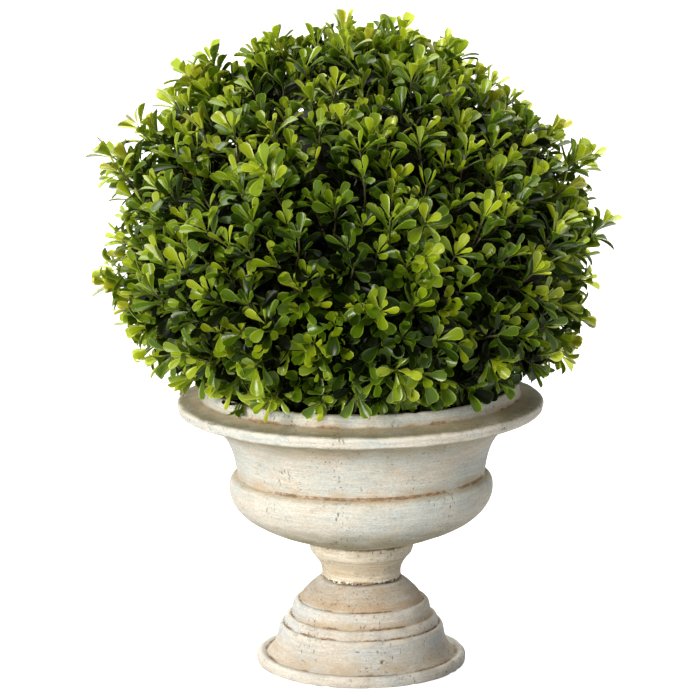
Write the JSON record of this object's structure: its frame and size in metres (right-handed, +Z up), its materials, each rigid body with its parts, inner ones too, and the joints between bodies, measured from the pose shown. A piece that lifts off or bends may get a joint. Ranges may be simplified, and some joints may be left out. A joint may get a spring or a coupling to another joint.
{
  "type": "artificial box topiary ball in a pedestal urn",
  "caption": "Artificial clipped boxwood ball standing in an aged, limewashed pedestal urn with a stepped foot, waisted neck and rolled rim.",
  "frame": {"origin": "centre of the flat underside of the urn's foot", "axes": "+Z up the axis of the foot, -Y the front of the urn, +X to the viewer's right"},
  "size_m": [0.3233, 0.3094, 0.4135],
  "materials": {
    "urn": "matt limewash over cast body, brown wash in the creases, fine pits",
    "foam": "dark matt foam",
    "stem": "satin olive-brown moulded plastic",
    "foliage": "satin moulded plastic leaves, mid green with yellow-green tips"
  },
  "bodies": {
    "root": {"urn_foot": "urn", "urn_neck": "urn", "urn_bowl": "urn", "foam_plug": "foam", "stem": "stem", "foliage_ball": "foliage"}
  },
  "joints": []
}
